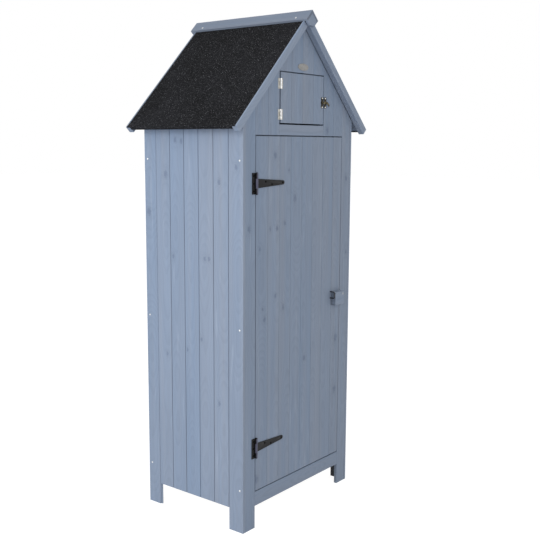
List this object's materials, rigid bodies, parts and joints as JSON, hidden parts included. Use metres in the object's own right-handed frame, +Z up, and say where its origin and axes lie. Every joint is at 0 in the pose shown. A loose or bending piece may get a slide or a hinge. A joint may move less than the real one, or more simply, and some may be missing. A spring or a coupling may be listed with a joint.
{
  "type": "garden storage cabinet",
  "caption": "Tall gabled wooden garden cabinet with a boarded main door, a small loft door, felt roof and shelves inside.",
  "frame": {"origin": "on the ground, under the middle of the object's bounding box", "axes": "+Z up, the front with both doors faces -Y, the doors are hinged towards -X"},
  "size_m": [0.77, 0.542, 1.79],
  "materials": {
    "stained_wood": "blue-grey translucent stain, satin",
    "inner_wood": "plain planed fir, matt",
    "mineral_felt": "bitumen felt with dark mineral grit",
    "black_steel": "black powder coat, satin",
    "zinc_steel": "zinc plated",
    "aged_brass": "aged brass",
    "plate_metal": "satin"
  },
  "bodies": {
    "carcass": {"back_bargeboards": "stained_wood", "back_stiles": "stained_wood", "back_wall_boards": "stained_wood", "back_wall_rails": "inner_wood", "box_latch_frame_plate": "aged_brass", "carcass_screws": "zinc_steel", "corner_posts": "stained_wood", "divider_boards": "inner_wood", "door_header": "stained_wood", "floor_bearers": "inner_wood", "floor_boards": "inner_wood", "front_bargeboard_left": "stained_wood", "front_bargeboard_right": "stained_wood", "front_sill": "stained_wood", "gable_battens": "inner_wood", "gable_rail": "stained_wood", "gable_side_boards": "stained_wood", "gable_top_boards": "stained_wood", "hinge_leaf_screws": "black_steel", "hinge_pins": "black_steel", "left_back_leg_board": "stained_wood", "left_front_leg_board": "stained_wood", "left_front_stile": "stained_wood", "left_wall_boards": "stained_wood", "loft_boards": "inner_wood", "lower_hinge_leaf": "black_steel", "oval_plate": "plate_metal", "ridge_cap_left": "stained_wood", "ridge_cap_right": "stained_wood", "ridge_end_blocks": "stained_wood", "right_back_leg_board": "stained_wood", "right_front_leg_board": "stained_wood", "right_front_stile": "stained_wood", "right_wall_boards": "stained_wood", "roof_deck_left": "stained_wood", "roof_deck_right": "stained_wood", "roof_felt_left": "mineral_felt", "roof_felt_right": "mineral_felt", "shelf_cleats": "inner_wood", "shelves": "inner_wood", "side_wall_rails": "inner_wood", "small_door_surround": "stained_wood", "small_hinge_frame_leaves": "zinc_steel", "small_hinge_pins": "zinc_steel", "upper_hinge_leaf": "black_steel"},
    "main_door": {"main_door_boards": "stained_wood", "main_door_ledges": "inner_wood", "lower_hinge_strap": "black_steel", "upper_hinge_strap": "black_steel", "hinge_strap_screws": "black_steel", "door_staple": "black_steel"},
    "turn_latch": {"turn_block": "stained_wood", "turn_tongue": "zinc_steel", "turn_spindle": "zinc_steel"},
    "small_door": {"small_door_boards": "stained_wood", "small_door_ledges": "inner_wood", "small_hinge_door_leaves": "zinc_steel", "small_door_screws": "zinc_steel", "box_latch_door_plate": "aged_brass"},
    "box_hook": {"box_latch_hook": "aged_brass"}
  },
  "joints": [
    {"name": "main_door_hinge", "type": "hinge", "parent": "carcass", "child": "main_door", "pos_m": [-0.2548, -0.235, 0.74856], "axis": [0, 0, -1], "range_deg": [0, 170]},
    {"name": "turn_latch_pivot", "type": "hinge", "parent": "main_door", "child": "turn_latch", "pos_m": [0.2476, -0.231, 0.77061], "axis": [0, -1, 0], "range_deg": [0, 90]},
    {"name": "small_door_hinge", "type": "hinge", "parent": "carcass", "child": "small_door", "pos_m": [-0.12543, -0.2329, 1.49137], "axis": [0, 0, -1], "range_deg": [0, 95]},
    {"name": "box_hook_pivot", "type": "hinge", "parent": "small_door", "child": "box_hook", "pos_m": [0.12206, -0.2312, 1.48362], "axis": [0, -1, 0], "range_deg": [0, 100]}
  ]
}
